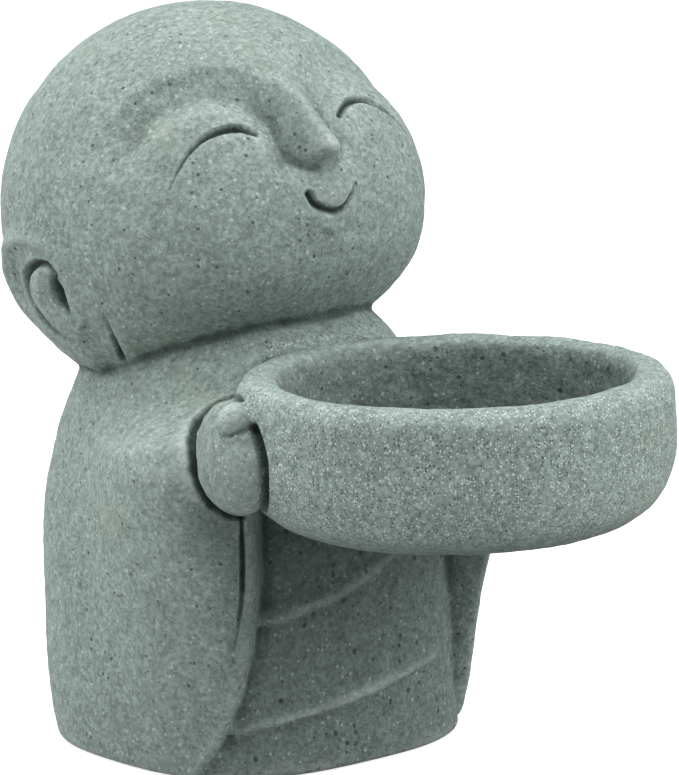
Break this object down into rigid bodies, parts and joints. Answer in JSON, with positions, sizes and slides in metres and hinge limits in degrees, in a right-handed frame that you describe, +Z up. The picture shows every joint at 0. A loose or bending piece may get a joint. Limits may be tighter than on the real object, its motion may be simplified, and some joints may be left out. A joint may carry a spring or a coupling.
{
  "type": "stone jizo statue",
  "caption": "Round-headed smiling figure of cast stone in a plain robe, holding a round open bowl in front, cast in one piece.",
  "frame": {"origin": "centre of the statue's flat underside, on the ground", "axes": "+Z up towards the crown, -Y out of the figure's front towards the bowl, +X to the figure's left hand"},
  "size_m": [0.0896, 0.1618, 0.15],
  "materials": {
    "cast_stone": "matte, finely pitted grey-green cast stone"
  },
  "bodies": {
    "root": {"jizo_statue": "cast_stone"}
  },
  "joints": []
}
